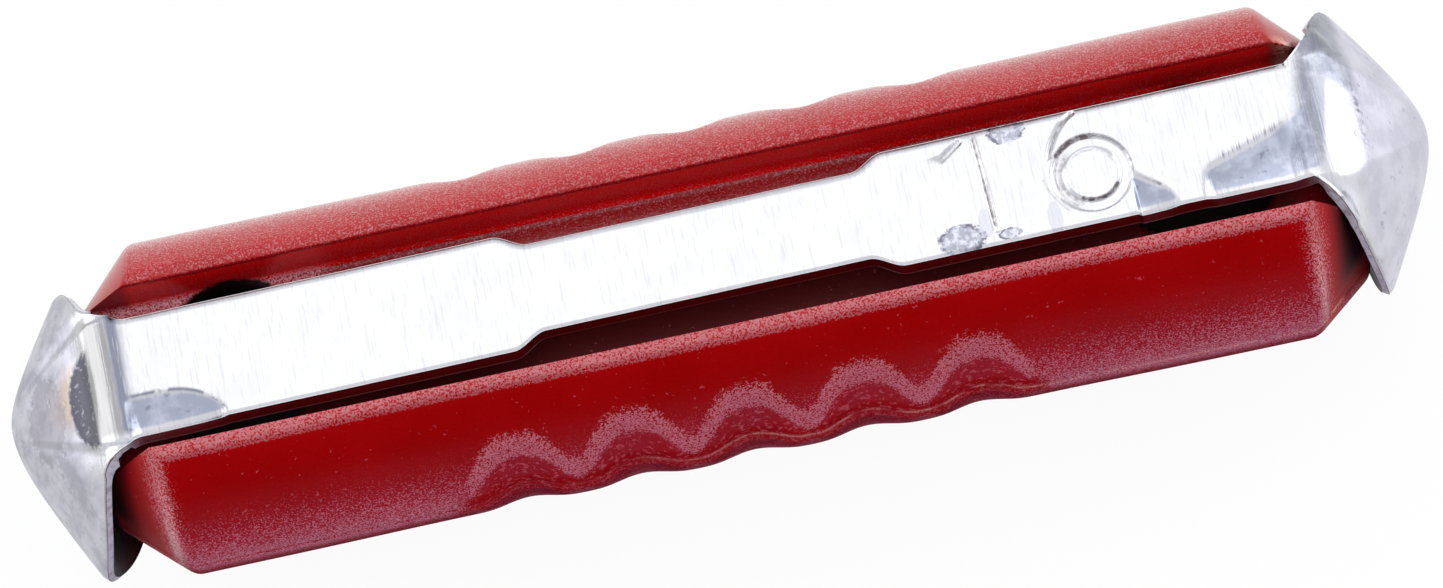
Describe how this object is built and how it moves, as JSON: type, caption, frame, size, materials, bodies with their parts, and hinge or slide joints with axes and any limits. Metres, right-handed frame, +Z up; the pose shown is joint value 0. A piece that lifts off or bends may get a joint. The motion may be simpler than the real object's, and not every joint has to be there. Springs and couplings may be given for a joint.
{
  "type": "ceramic continental fuse",
  "caption": "Torpedo-shaped strip fuse: a red grooved ceramic body and a one-piece metal strip with a narrow neck and conical end contacts.",
  "frame": {"origin": "under the middle of the fuse, on the plane that the round body lies on", "axes": "+X along the fuse from one contact cap to the other, +Z up through the fuse strip, +Y across the body"},
  "size_m": [0.025, 0.0058, 0.0053],
  "materials": {
    "ceramic_body": "dyed red, pressed, satin",
    "fuse_metal": "rolled sheet, bright, lightly stained"
  },
  "bodies": {
    "root": {"fuse_body": "ceramic_body", "fuse_element": "fuse_metal"}
  },
  "joints": []
}
